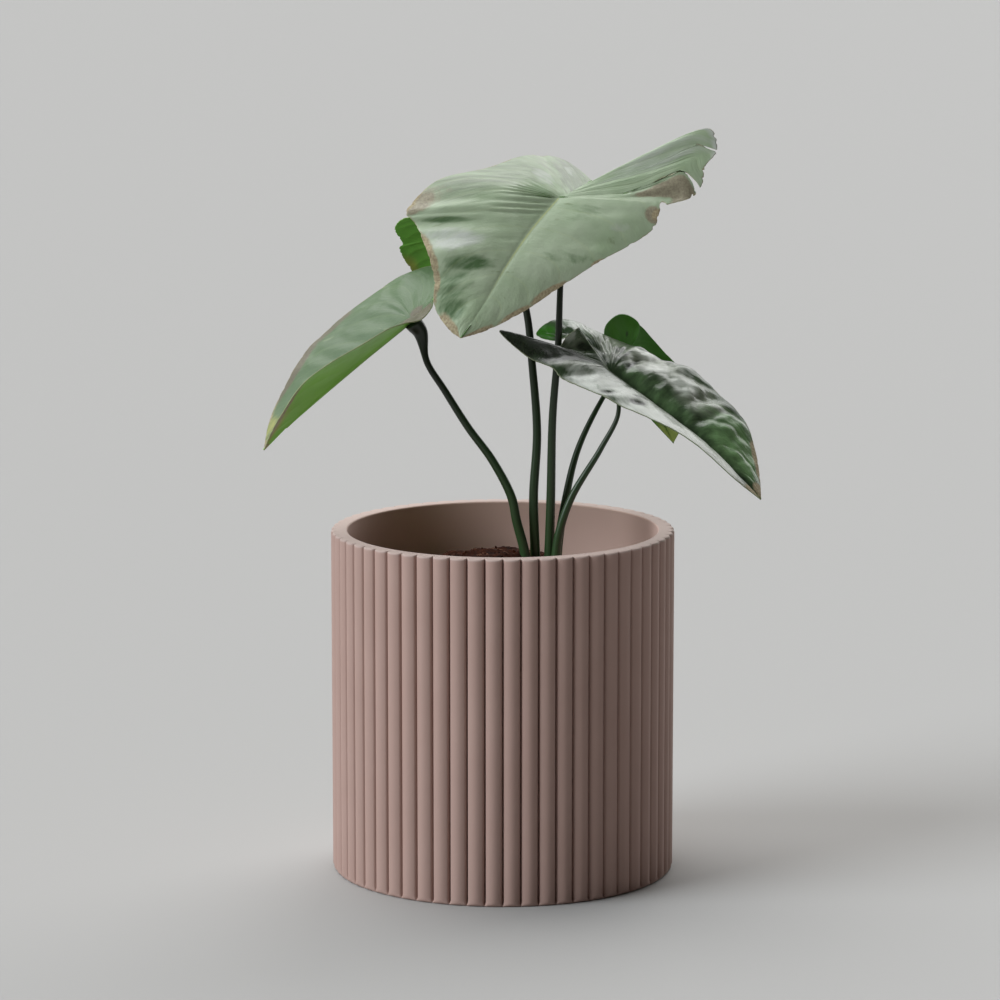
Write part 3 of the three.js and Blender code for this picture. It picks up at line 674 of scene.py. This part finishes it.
def make_fibres():
    draw = random.Random(11)
    fibres = bmesh.new()
    reach = WALL_INNER_RADIUS - FIBRE_MARGIN
    for _ in range(FIBRES):
        turn, out = draw.uniform(0, 2 * math.pi), reach * math.sqrt(draw.random())
        x, y = out * math.cos(turn), out * math.sin(turn)
        heading, curl = draw.uniform(0, 2 * math.pi), draw.uniform(-0.5, 0.5)
        length = draw.uniform(*FIBRE_LENGTHS)
        line = []
        for k in range(FIBRE_POINTS):
            line.append(Vector((x, y, soil_surface(x, y) + 0.25 + 0.5 * math.sin(k * 1.1))) * MM)
            x += math.cos(heading) * length / (FIBRE_POINTS - 1)
            y += math.sin(heading) * length / (FIBRE_POINTS - 1)
            heading += curl
        if all(clear_of_petioles(p.x / MM, p.y / MM, PETIOLE_BASE_RADIUS + 0.4) for p in line):
            add_tube(fibres, line, [draw.uniform(*FIBRE_RADII) * MM] * FIBRE_POINTS, 4)
    finish_object("soil_fibres", fibres, [coir_material()], "soil")


def peat_material():
    # Peat and bark potting mix: dark red-brown, crumbly and dull, damp in its hollows
    material, tree = new_material("peat_mix")
    where = add(tree, "TexCoord").outputs["Object"]
    lumps = add(tree, "TexNoise", Vector=where, Scale=spaced(5.5), Detail=5, Roughness=0.7)
    grain = add(tree, "TexNoise", Vector=where, Scale=spaced(0.9), Detail=3, Roughness=0.7)
    share = add(tree, "MapRange", Value=lumps, From_Min=0.35, From_Max=0.68)
    colour = add(tree, "Mix", COLOURS, Factor=share, _6="#1c0a04", _7="#48200b")
    bump = add(tree, "Bump", Height=grain, Strength=0.8, Distance=0.0006)
    surface = add(tree, "BsdfPrincipled", Base_Color=colour, Roughness=0.92, Specular_IOR_Level=0.1,
                  Normal=bump)
    add(tree, "OutputMaterial", Surface=surface)
    return material


def coir_material():
    # Coir, the coarse coconut fibre in the mix: dry, light red-brown strands
    material, tree = new_material("coir_strands")
    where = add(tree, "TexCoord").outputs["Object"]
    tone = add(tree, "TexNoise", Vector=where, Scale=spaced(6.5), Detail=2)
    colour = add(tree, "Mix", COLOURS, Factor=tone, _6="#4a2818", _7="#946244")
    surface = add(tree, "BsdfPrincipled", Base_Color=colour, Roughness=0.85)
    add(tree, "OutputMaterial", Surface=surface)
    return material


def make_corm():
    profile = [(0, CORM_CROWN_Z - CORM_DEPTH)]
    for k in range(1, CORM_STEPS):
        share = k / CORM_STEPS
        radius = CORM_RADIUS * math.sin(math.pi * lerp(*CORM_BULGE, share) * smooth(0, 0.12, share))
        scar = SCAR_DEPTH * abs(math.sin(share * SCAR_TURNS)) ** 3
        profile.append((radius - scar, CORM_CROWN_Z - CORM_DEPTH * (1 - share)))
    profile += [(CORM_CROWN_RADIUS, CORM_CROWN_Z), (0, CORM_CROWN_Z)]
    corm = spun(profile, CORM_SIDES)
    for corner in corm.verts:
        knob = noise.noise(corner.co / MM * 0.16)
        corner.co.x = corner.co.x * (1 + 0.04 * knob - 0.03) + CORM_PLACE[0] * MM
        corner.co.y = corner.co.y * (1 + 0.04 * knob - 0.03) + CORM_PLACE[1] * MM
    finish_object("corm_body", corm, [corm_material()], "corm", "corm")


def corm_material():
    # Taro corm: corky brown skin in rings, scaly between the leaf scars
    material, tree = new_material("corm_skin")
    where = add(tree, "TexCoord").outputs["Object"]
    rings = add(tree, "TexWave", {"bands_direction": "Z"}, Vector=where, Scale=spaced(16),
                Distortion=3, Detail=3).outputs["Fac"]
    colour = add(tree, "Mix", COLOURS, Factor=rings, _6="#4a3322", _7="#8a6a4c")
    bump = add(tree, "Bump", Height=rings, Strength=0.6, Distance=0.0008)
    surface = add(tree, "BsdfPrincipled", Base_Color=colour, Roughness=0.9, Normal=bump)
    add(tree, "OutputMaterial", Surface=surface)
    return material


# The blades

def points_of(leaf):
    """The leaf's midrib, its margins and its sinus as vectors, in millimetres."""
    midrib = [Vector(p) for p in leaf["midrib"]]
    sinus = Vector(leaf["sinus"])
    margins = {side: [midrib[0], *[Vector(p) for p in leaf[side]], sinus]
               for side in ("left", "right")}
    return midrib, margins, sinus


def midrib_point(midrib, sinus, along):
    if along <= 0.5:
        return spline(midrib, along * 2)
    return midrib[-1].lerp(sinus, ((along - 0.5) * 2) ** 2)


def closeness(value, place, reach):
    return max(0, 1 - abs(value - place) / reach)


def torn_share(leaf, side, along):
    share = 1
    for place, half_width, depth, _ in leaf["tears"][side]:
        share -= depth * closeness(along, place, half_width)
    return share


def lean_at(leaf, side, along, share):
    """How far along the margin a place is drawn by the leaning tears near it."""
    shift = 0
    for place, _, depth, lean in leaf["tears"][side]:
        bend = (1 - share) / depth
        if share < 1 - depth:
            bend = smooth(LEAN_START, 1 - depth, share)
        shift += lean * bend * smooth(0, 1, closeness(along, place, LEAN_REACH))
    return shift


def fold_lift(leaf, side, along, share):
    lift = 0
    for place, half_width, height in leaf["folds"][side]:
        lift += height * smooth(0, 1, closeness(along, place, half_width))
    return lift * smooth(FOLD_START, FOLD_FULL, share)


def blade_point(leaf, outline, side, along, out):
    """The blade's middle surface, out from 0 at the midrib to 1 at the margin."""
    midrib, margins, sinus = outline
    share = out * torn_share(leaf, side, along)
    bent = along + lean_at(leaf, side, along, share)
    start, end = midrib_point(midrib, sinus, bent), spline(margins[side], bent)
    width = (end - start).length
    blade, lobe = leaf["arch"][side]
    arch = lerp(blade, lobe, max(0, along * 2 - 1))
    rise = leaf["channel"][side] * (1 - math.exp(-share * width / CHANNEL_WIDTH)) \
        * (1 - smooth(*CHANNEL_FADE, along))
    lift = arch * width * 4 * share * (1 - share) + rise * (1 - share) \
        + fold_lift(leaf, side, along, share)
    return start.lerp(end, share) + Vector(leaf["up"]).normalized() * lift


def column_share(x):
    """Grid places -1 to 1 as shares of the half blade, with a narrow last column at the margin."""
    last = 1 - 1 / COLUMNS
    out = abs(x)
    return min(1, out / last * EDGE_SHARE) if out < last + 0.25 / COLUMNS else 1


def worn(dress, side, along, out, width):
    """The share out of a place once the margin is nibbled away by up to the leaf's nibble."""
    if width < NIBBLE_LEAST_WIDTH:
        return out
    depth = dress["nibble"]
    for place, reach, more in dress["frays"][side]:
        depth += more * smooth(0, 1, closeness(along, place, reach))
    bite = max(0, noise.noise(Vector((along * NIBBLE_STEPS, len(side), 3))))
    return out * (1 - depth * bite * smooth(NIBBLE_START, 1, out) / width)


def blade_rows(leaf, count):
    """Places along the blade: even steps, with finer ones across each tear."""
    rows = {step / count for step in range(count + 1)}
    for place, half_width, _, _ in leaf["tears"]["left"] + leaf["tears"]["right"]:
        first, last = place - half_width, place + half_width
        rows = {row for row in rows if not first < row < last}
        rows |= {lerp(first, last, k / TEAR_ROWS) for k in range(TEAR_ROWS + 1)}
    return sorted(rows)


def make_blade(name):
    leaf, dress = LEAVES[name], DRESS[name]
    outline = points_of(leaf)
    midrib, margins, sinus = outline
    rows = blade_rows(leaf, dress["rows"])
    last = len(rows) - 1
    sheet = bmesh.new()
    bmesh.ops.create_grid(sheet, x_segments=2 * COLUMNS, y_segments=last, size=1)
    vein_map = sheet.loops.layers.uv.new("veins")
    layers = {mark: sheet.verts.layers.float.new(mark) for mark in MARKS}
    relief = {}
    for corner in sheet.verts:
        x, along = corner.co.x, rows[round((corner.co.y + 1) / 2 * last)]
        side = "left" if x < 0 else "right"
        width = (spline(margins[side], along) - midrib_point(midrib, sinus, along)).length
        width *= torn_share(leaf, side, along)
        out = worn(dress, side, along, column_share(x), width)
        phase = dress["veins"] * along + dress["bend"] * out * out
        for loop in corner.link_loops:
            loop[vein_map].uv = (out, phase)
        corner[layers["from_rib"]] = out * width
        corner[layers["from_edge"]] = (1 - column_share(x)) * width
        corner[layers["rib_show"]] = smooth(*RIB_FADE, along) \
            * smooth(dress["rib_end"], dress["rib_end"] - 0.1, along)
        for kind in PATCHES:
            corner[layers[kind]] = patch_share(dress, kind, side, along, out)
        corner.co = blade_point(leaf, outline, side, along, out) * MM
        relief[corner] = blade_relief(dress, side, corner.co / MM, along, out, width, phase) * MM
    face_up(sheet, leaf["up"])
    for corner, height in relief.items():
        corner.co += corner.normal * (height + BLADE_THICKNESS / 2 * MM)
    bmesh.ops.remove_doubles(sheet, verts=sheet.verts, dist=0.002 * MM)
    rib = layers["from_rib"]
    show = layers["rib_show"]
    weights = [lerp(BLADE_BODY, RIB_BODY, rib_share(v[rib]) * v[show]) / RIB_BODY
               for v in sheet.verts]
    looks = [cuticle_material(name, dress), underside_material(name, dress),
             margin_material(name, dress)]
    piece = finish_object(f"blade_{name}", sheet, looks, dress["slot"], f"leaf_{name}")
    group = piece.vertex_groups.new(name="body")
    for i, weight in enumerate(weights):
        group.add([i], weight, "REPLACE")
    shell = piece.modifiers.new("shell", "SOLIDIFY")
    shell.thickness = RIB_BODY * MM
    shell.offset = -1
    shell.vertex_group = "body"
    shell.material_offset = 1
    shell.material_offset_rim = 2


def face_up(sheet, up):
    """Turns an open sheet so that its faces look to its upper side."""
    sheet.normal_update()
    total = sum((face.normal * face.calc_area() for face in sheet.faces), Vector())
    if total.dot(Vector(up)) < 0:
        bmesh.ops.reverse_faces(sheet, faces=sheet.faces)
        sheet.normal_update()


def rib_share(distance):
    """How much of the midrib's body a place has, by its distance from the midrib in mm."""
    return math.exp(-(distance / RIB_WIDTH) ** 2)


def distance_from(spot, along, out):
    """How far a place lies from a spot of [along, out, reach along, reach out], 1 at its reach."""
    return math.hypot((along - spot[0]) / spot[2], (out - spot[1]) / spot[3])


def patch_share(dress, kind, side, along, out):
    """How strongly a place is marked by the blade's patches of one kind, 0 to 1."""
    share = 0
    for *spot, strength in dress["patches"][side].get(kind, []):
        share = max(share, strength * (1 - smooth(PATCH_CORE, 1, distance_from(spot, along, out))))
    return share


def blade_relief(dress, side, place, along, out, width, phase):
    """The blade's fine form in millimetres: its sunken midrib, puffs, mounds and ripples."""
    groove = dress["fill"] * math.exp(-out * width / CHANNEL_WIDTH) \
        - RIB_GROOVE * smooth(0.02, 0.2, along) * math.exp(-(out * width / GROOVE_WIDTH) ** 2)
    inside = smooth(*RELIEF_FROM_RIB, out * width) * smooth(*RELIEF_FROM_EDGE, (1 - out) * width)
    half = 0 if side == "left" else 1
    puff = dress["puff"][half] * (abs(math.sin(math.pi * phase)) ** 0.7 - 0.6)
    blister = dress["blister"][half] * noise.noise(place * BLISTER_PITCH)
    own = 0
    for *spot, height in dress["mounds"][side]:
        own += height * math.exp(-distance_from(spot, along, out) ** 2)
    for first, last, spacing, near, far, height in dress["ripples"][side]:
        fade = smooth(first, first + spacing, along) * smooth(last, last - spacing, along)
        reach = smooth(near - 0.03, near + 0.03, out) * smooth(far, lerp(near, far, 0.4), out)
        own += height * math.sin(2 * math.pi * (along - first) / spacing) * fade * reach
    return groove + inside * (puff + blister + own)


def cuticle_material(name, dress):
    # Waxy upper skin of a taro blade: soft sheen, pale midrib, and dry tissue where it is worn, with
    # painted shade in its creases and painted sheen and highlights where it catches the light. The net of
    # fine veins is drawn about twice as coarse as it is, so that it shows
    material, tree = new_material(f"waxy_cuticle_{name}")
    where = add(tree, "TexCoord").outputs["Object"]
    marks = {mark: add(tree, "Attribute", {"attribute_name": mark}).outputs["Fac"] for mark in MARKS}
    mottle = add(tree, "TexNoise", Vector=where, Scale=spaced(36), Detail=4, Roughness=0.6)
    tone = add(tree, "MapRange", Value=mottle, From_Min=0.35, From_Max=0.7)
    colour = add(tree, "Mix", COLOURS, Factor=tone, _6=dress["light"], _7=dress["dark"])
    streaks = streaked(tree)
    # Painted light: the first tint is a painted sheen, the second a painted highlight, and the last
    # painted shade in creases and folds
    for kind, tint in (("pale", "#7d8674"), ("painted_highlight", "#b9bfb5"), ("fresh", dress["fresh"]),
                       ("green", "#2f6418"), ("deep", dress["deep"])):
        ragged = add(tree, "Math", {"operation": "MULTIPLY_ADD"}, _0=streaks, _1=1.6, _2=marks[kind])
        mask = add(tree, "MapRange", Value=ragged, From_Min=1, From_Max=1.7)
        colour = add(tree, "Mix", COLOURS, Factor=mask, _6=colour, _7=tint)
    colour, dry = dried(tree, where, marks, veined(tree, marks, colour, dress), dress)
    net = add(tree, "TexVoronoi", {"feature": "DISTANCE_TO_EDGE"}, Vector=where, Scale=spaced(2.4))
    fine = add(tree, "Bump", Height=net, Strength=0.3, Distance=0.0002)
    bump = add(tree, "Bump", Height=streaks, Strength=0.6, Distance=0.0008, Normal=fine)
    rough = add(tree, "MapRange", Value=mottle, To_Min=dress["roughness"] - 0.05,
                To_Max=dress["roughness"] + 0.08)
    dull = add(tree, "Mix", Factor=dry, _2=rough, _3=0.75)
    surface = add(tree, "BsdfPrincipled", Base_Color=colour, Roughness=dull, IOR=1.5, Normal=bump)
    add(tree, "OutputMaterial", Surface=surface)
    return material


def streaked(tree):
    """A fine unevenness drawn out along the lateral veins, about 0.5 on average."""
    lines = add(tree, "UVMap", {"uv_map": "veins"})
    drawn = add(tree, "Mapping", Vector=lines, Scale=STREAK_SCALE)
    return add(tree, "TexNoise", Vector=drawn, Scale=1, Detail=4, Roughness=0.6)


def veined(tree, marks, colour, dress):
    """A colour with the paler midrib and the faint lateral veins drawn over it."""
    middle = add(tree, "MapRange", Value=marks["from_rib"], From_Min=0.3, From_Max=0.9,
                 To_Min=dress["rib_line"], To_Max=0)
    middle = add(tree, "Math", {"operation": "MULTIPLY"}, _0=middle, _1=marks["rib_show"])
    split = add(tree, "SeparateXYZ", Vector=add(tree, "UVMap", {"uv_map": "veins"}))
    fold = add(tree, "Math", {"operation": "PINGPONG"}, _0=split.outputs["Y"], _1=0.5)
    lateral = add(tree, "MapRange", Value=fold, From_Min=0, From_Max=0.05, To_Min=0.1, To_Max=0)
    share = add(tree, "Math", {"operation": "MAXIMUM"}, _0=middle, _1=lateral)
    return add(tree, "Mix", COLOURS, Factor=share, _6=colour, _7=dress["rib"])


def dried(tree, where, marks, colour, dress):
    """A colour with dry and ashen tissue over it, and how dry each place is, 0 to 1."""
    ragged = add(tree, "TexNoise", Vector=where, Scale=spaced(7.5), Detail=5, Roughness=0.65)
    reach = add(tree, "MapRange", Value=ragged, From_Min=0.45, From_Max=0.75, To_Min=0.15,
                To_Max=1.4)
    line = add(tree, "Math", {"operation": "DIVIDE"}, _0=marks["from_edge"], _1=reach)
    rim = add(tree, "MapRange", Value=line, From_Min=0.6, From_Max=1.1, To_Min=dress["edge_line"],
              To_Max=0)
    specks = add(tree, "TexNoise", Vector=where, Scale=spaced(1.4), Detail=3, Roughness=0.6)
    specked = add(tree, "MapRange", Value=specks, From_Min=0.35, From_Max=0.65)
    for kind, first, second in (("ashen", *dress["ashen"]), ("dry", "#8d7e63", "#b2a786")):
        tint = add(tree, "Mix", COLOURS, Factor=specked, _6=first, _7=second)
        broken = add(tree, "Math", {"operation": "MULTIPLY_ADD"}, _0=ragged, _1=0.9, _2=marks[kind])
        mask = add(tree, "MapRange", Value=broken, From_Min=0.8, From_Max=1.1)
        if kind == "dry":
            mask = add(tree, "Math", {"operation": "MAXIMUM"}, _0=mask, _1=rim)
        colour = add(tree, "Mix", COLOURS, Factor=mask, _6=colour, _7=tint)
    return colour, mask


def underside_material(name, dress):
    # Underside of the blade: brighter green, dull, with its veins raised and paler
    material, tree = new_material(f"blade_underside_{name}")
    where = add(tree, "TexCoord").outputs["Object"]
    marks = {mark: add(tree, "Attribute", {"attribute_name": mark}).outputs["Fac"]
             for mark in MARKS if mark not in ("pale", "painted_highlight", "green")}
    mottle = add(tree, "TexNoise", Vector=where, Scale=spaced(25), Detail=3)
    shade = add(tree, "MapRange", Value=mottle, To_Min=-0.2, To_Max=0.4)
    colour = add(tree, "Mix", COLOURS, Factor=shade, _6=dress["under"], _7=dress["deep"])
    # The deep patches paint shade into the creases on this face too
    for kind in ("fresh", "deep"):
        colour = add(tree, "Mix", COLOURS, Factor=marks[kind], _6=colour, _7=dress[kind])
    colour, _ = dried(tree, where, marks, veined(tree, marks, colour, dress), dress)
    surface = add(tree, "BsdfPrincipled", Base_Color=colour, Roughness=0.5, IOR=1.45)
    add(tree, "OutputMaterial", Surface=surface)
    return material


def margin_material(name, dress):
    # The blade's edge: a thin pale line of drier tissue
    material, tree = new_material(f"dry_margin_{name}")
    surface = add(tree, "BsdfPrincipled", Base_Color=dress["edge"], Roughness=0.6)
    add(tree, "OutputMaterial", Surface=surface)
    return material


# The petioles

def add_tube(mesh_code, line, radii, sides):
    """Adds a closed round tube along a line of even steps."""
    turns = []
    heading = (line[1] - line[0]).normalized()
    across = heading.orthogonal().normalized()
    for i in range(len(line)):
        ahead = (line[min(i + 1, len(line) - 1)] - line[max(i - 1, 0)]).normalized()
        across = (across - ahead * across.dot(ahead)).normalized()
        turns.append((across, ahead.cross(across)))
    made = bmesh.ops.create_grid(mesh_code, x_segments=sides, y_segments=len(line) - 1, size=1)
    for corner in made["verts"]:
        i = round((corner.co.y + 1) / 2 * (len(line) - 1))
        angle = math.pi * (corner.co.x + 1)
        first, second = turns[i]
        corner.co = line[i] + (first * math.cos(angle) + second * math.sin(angle)) * radii[i]
    bmesh.ops.remove_doubles(mesh_code, verts=made["verts"], dist=0.002 * MM)
    kept = [v for v in made["verts"] if v.is_valid]
    rims = [e for e in {e for v in kept for e in v.link_edges} if e.is_boundary]
    caps = bmesh.ops.holes_fill(mesh_code, edges=rims, sides=0)["faces"]
    faces = {f for v in kept for f in v.link_faces} | set(caps)
    bmesh.ops.recalc_face_normals(mesh_code, faces=list(faces))


def face_at_petiole(leaf, outline):
    """Where the petiole joins, and the direction straight out of the upper face there."""
    join = blade_point(leaf, outline, "left", 0.5, 0)
    ahead = blade_point(leaf, outline, "left", 0.46, 0) \
        - blade_point(leaf, outline, "left", 0.54, 0)
    left = (blade_point(leaf, outline, "left", 0.5, 0.1) - join).normalized()
    right = (blade_point(leaf, outline, "right", 0.5, 0.1) - join).normalized()
    normal = ahead.cross(left - right).normalized()
    return join, normal if normal.dot(Vector(leaf["up"])) > 0 else -normal


def make_petiole(name):
    leaf = LEAVES[name]
    join, face = face_at_petiole(leaf, points_of(leaf))
    points = [Vector((*leaf["foot"], CORM_CROWN_Z + GAP)), *[Vector(p) for p in leaf["petiole"]],
              join - face * PETIOLE_RUN_IN, join - face * PETIOLE_END]
    line = [p * MM for p in even_spline(points, PETIOLE_STEPS)]
    radii = []
    for step in range(PETIOLE_STEPS + 1):
        share = step / PETIOLE_STEPS
        radius = lerp(PETIOLE_BASE_RADIUS, leaf["slender"], share)
        radii.append((radius + leaf["flare"] * smooth(FLARE_START, 1, share)) * MM)
    stem = bmesh.new()
    add_tube(stem, line, radii, PETIOLE_SIDES)
    finish_object(f"stalk_{name}", stem, [stalk_material()], "petiole", f"petiole_{name}")


def stalk_material():
    # Fleshy taro petiole: smooth waxy skin, deep green, darker and redder up its length
    if "stalk_skin" in bpy.data.materials:
        return bpy.data.materials["stalk_skin"]
    material, tree = new_material("stalk_skin")
    where = add(tree, "TexCoord").outputs["Object"]
    height = add(tree, "SeparateXYZ", Vector=where).outputs["Z"]
    share = add(tree, "MapRange", Value=height, From_Min=0.18, From_Max=0.3)
    colour = add(tree, "Mix", COLOURS, Factor=share, _6="#324e2b", _7="#171f12")
    surface = add(tree, "BsdfPrincipled", Base_Color=colour, Roughness=0.35, IOR=1.45)
    add(tree, "OutputMaterial", Surface=surface)
    return material


# The floor, the light and the camera

def make_stage():
    floor = bmesh.new()
    bmesh.ops.create_grid(floor, x_segments=1, y_segments=1, size=20)
    mesh = bpy.data.meshes.new("floor")
    floor.to_mesh(mesh)
    floor.free()
    material, tree = new_material("painted_floor")
    surface = add(tree, "BsdfPrincipled", Base_Color="#aaa9a7", Roughness=0.9)
    add(tree, "OutputMaterial", Surface=surface)
    mesh.materials.append(material)
    piece = bpy.data.objects.new("floor", mesh)
    bpy.context.scene.collection.objects.link(piece)


def make_light(name, towards, width, strength, tint):
    """A far soft light that shines from a direction, as wide as its angle in degrees."""
    lamp = bpy.data.lights.new(name, "SUN")
    lamp.angle = math.radians(width)
    lamp.energy = strength
    lamp.color = linear(tint)[:3]
    piece = bpy.data.objects.new(name, lamp)
    piece.rotation_euler = Vector(towards).to_track_quat("Z", "Y").to_euler()
    bpy.context.scene.collection.objects.link(piece)


def make_studio():
    world = bpy.data.worlds.new("studio")
    world.use_nodes = True
    world.node_tree.nodes["Background"].inputs["Color"].default_value = linear("#d8cfc6")
    world.node_tree.nodes["Background"].inputs["Strength"].default_value = 0.085
    bpy.context.scene.world = world
    make_light("key", (-0.8, -0.34, 0.5), 35, 2.68, "#f4faff")
    make_light("top", (-0.2, 0.42, 0.88), 60, 2.3, "#ffffff")
    make_light("back", (0.42, 0.8, 0.43), 50, 1.2, "#ffffff")
    bpy.context.scene.view_settings.view_transform = "Standard"


def make_camera():
    lens = bpy.data.cameras.new("camera")
    lens.lens = CAMERA_LENS
    lens.sensor_width = 36
    lens.clip_end = 60
    camera = bpy.data.objects.new("camera", lens)
    camera.location = CAMERA_PLACE
    camera.rotation_euler = (math.pi / 2 - CAMERA_DOWN, 0, 0)
    bpy.context.scene.collection.objects.link(camera)
    bpy.context.scene.camera = camera


make_camera()
make_studio()
make_stage()
make_pot()
make_soil()
make_corm()
for leaf_name in LEAVES:
    make_petiole(leaf_name)
    make_blade(leaf_name)
